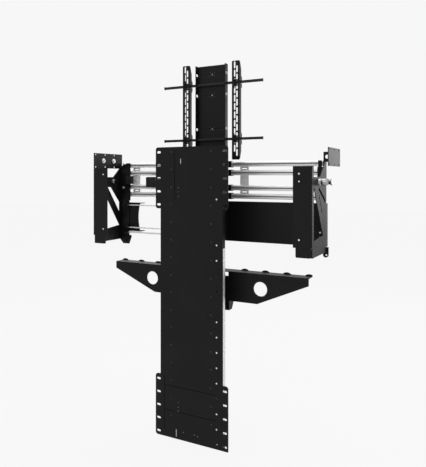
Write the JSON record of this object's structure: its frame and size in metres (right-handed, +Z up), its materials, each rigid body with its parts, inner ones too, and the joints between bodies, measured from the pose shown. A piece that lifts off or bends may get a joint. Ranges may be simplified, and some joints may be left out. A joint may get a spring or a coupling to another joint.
{
  "type": "tv lift mechanism",
  "caption": "Wall-mounted TV lift: a slotted column, a rack-driven mast with a bar-and-arm TV bracket, aluminium cross rails and trussed end frames.",
  "frame": {"origin": "in the wall plane, midway between the lowest two slots of the bottom wall plate", "axes": "+X to the right seen from the wall side, +Y away from the wall, +Z up"},
  "size_m": [1.0193, 0.216, 1.441],
  "materials": {
    "black_powder_coat": "black fine-textured powder coat on folded steel sheet",
    "motor_finish": "black painted motor and gearbox housings",
    "bright_aluminium": "bright anodised drawn aluminium",
    "zinc_plated_steel": "bright zinc-plated steel",
    "black_rubber": "moulded black rubber",
    "white_nylon": "turned natural nylon"
  },
  "bodies": {
    "column": {"column_plate": "black_powder_coat", "top_wall_plate": "black_powder_coat", "bottom_wall_plate": "black_powder_coat", "centre_plate": "black_powder_coat", "guide_channel_left": "black_powder_coat", "guide_channel_right": "black_powder_coat", "rack_spine": "black_powder_coat", "gear_rack": "zinc_plated_steel", "column_screws": "zinc_plated_steel", "stop_buffers": "black_rubber", "arm_bracket_left": "black_powder_coat", "arm_bracket_right": "black_powder_coat", "support_arm_left": "black_powder_coat", "support_arm_right": "black_powder_coat", "support_bolts": "zinc_plated_steel"},
    "upper_left_roller": {"roller_upper_left": "white_nylon"},
    "upper_right_roller": {"roller_upper_right": "white_nylon"},
    "lower_left_roller": {"roller_lower_left": "white_nylon"},
    "lower_right_roller": {"roller_lower_right": "white_nylon"},
    "pinion": {"drive_pinion": "zinc_plated_steel"},
    "left_plunger": {"plunger_knob_left": "bright_aluminium"},
    "right_plunger": {"plunger_knob_right": "bright_aluminium"},
    "mast": {"mast_channel": "black_powder_coat", "cheek_left": "black_powder_coat", "cheek_right": "black_powder_coat", "roller_stubs": "zinc_plated_steel", "gearbox_housing": "motor_finish", "drive_motor": "motor_finish", "motor_end_housing": "motor_finish", "cross_plate": "black_powder_coat", "rail_clamps": "black_powder_coat", "rail_a": "bright_aluminium", "rail_b": "bright_aluminium", "rail_c": "bright_aluminium", "rail_d": "bright_aluminium", "tie_plates": "bright_aluminium", "crossbar_upper": "black_powder_coat", "crossbar_lower": "black_powder_coat", "tv_arm_left": "black_powder_coat", "tv_arm_right": "black_powder_coat", "bar_keepers": "zinc_plated_steel", "cover_panel": "black_powder_coat", "cover_mount": "black_powder_coat", "curved_bracket": "black_powder_coat", "guide_rods": "bright_aluminium", "front_post_left": "black_powder_coat", "front_post_right": "black_powder_coat", "side_truss_left": "black_powder_coat", "side_truss_right": "black_powder_coat", "rear_post_left": "black_powder_coat", "rear_post_right": "black_powder_coat", "rail_end_bracket": "black_powder_coat", "rear_feet": "black_powder_coat", "adaptor_plate_left": "black_powder_coat", "adaptor_plate_right": "black_powder_coat", "adaptor_lug": "black_powder_coat", "frame_bolts": "zinc_plated_steel", "side_buffer": "black_rubber", "plunger_sleeve_left": "zinc_plated_steel", "plunger_sleeve_right": "zinc_plated_steel"}
  },
  "joints": [
    {"name": "lift", "type": "slide", "parent": "column", "child": "mast", "axis": [0, 0, 1], "range_m": [-0.62, 0]},
    {"name": "pinion_spin", "type": "hinge", "parent": "mast", "child": "pinion", "pos_m": [0, 0.127, 0.922], "axis": [0, 1, 0], "range_deg": [0, 1580]},
    {"name": "upper_left_roller_spin", "type": "hinge", "parent": "mast", "child": "upper_left_roller", "pos_m": [-0.0805, 0.0805, 1.05], "axis": [1, 0, 0], "range_deg": [0, 2221]},
    {"name": "lower_left_roller_spin", "type": "hinge", "parent": "mast", "child": "lower_left_roller", "pos_m": [-0.0805, 0.0805, 0.76], "axis": [1, 0, 0], "range_deg": [-2221, 0]},
    {"name": "upper_right_roller_spin", "type": "hinge", "parent": "mast", "child": "upper_right_roller", "pos_m": [0.0805, 0.0805, 1.05], "axis": [1, 0, 0], "range_deg": [0, 2221]},
    {"name": "lower_right_roller_spin", "type": "hinge", "parent": "mast", "child": "lower_right_roller", "pos_m": [0.0805, 0.0805, 0.76], "axis": [1, 0, 0], "range_deg": [-2221, 0]},
    {"name": "left_plunger_pull", "type": "slide", "parent": "mast", "child": "left_plunger", "axis": [-1, 0, 0], "range_m": [0, 0.01], "stiffness_N_per_m": 600, "springref_m": -0.01},
    {"name": "right_plunger_pull", "type": "slide", "parent": "mast", "child": "right_plunger", "axis": [1, 0, 0], "range_m": [0, 0.01], "stiffness_N_per_m": 600, "springref_m": -0.01}
  ],
  "couplings": [
    {"joint": "pinion_spin", "follows": "lift", "rad_per_m": -44.444},
    {"joint": "upper_left_roller_spin", "follows": "lift", "rad_per_m": -62.5},
    {"joint": "lower_left_roller_spin", "follows": "lift", "rad_per_m": 62.5},
    {"joint": "upper_right_roller_spin", "follows": "lift", "rad_per_m": -62.5},
    {"joint": "lower_right_roller_spin", "follows": "lift", "rad_per_m": 62.5}
  ]
}
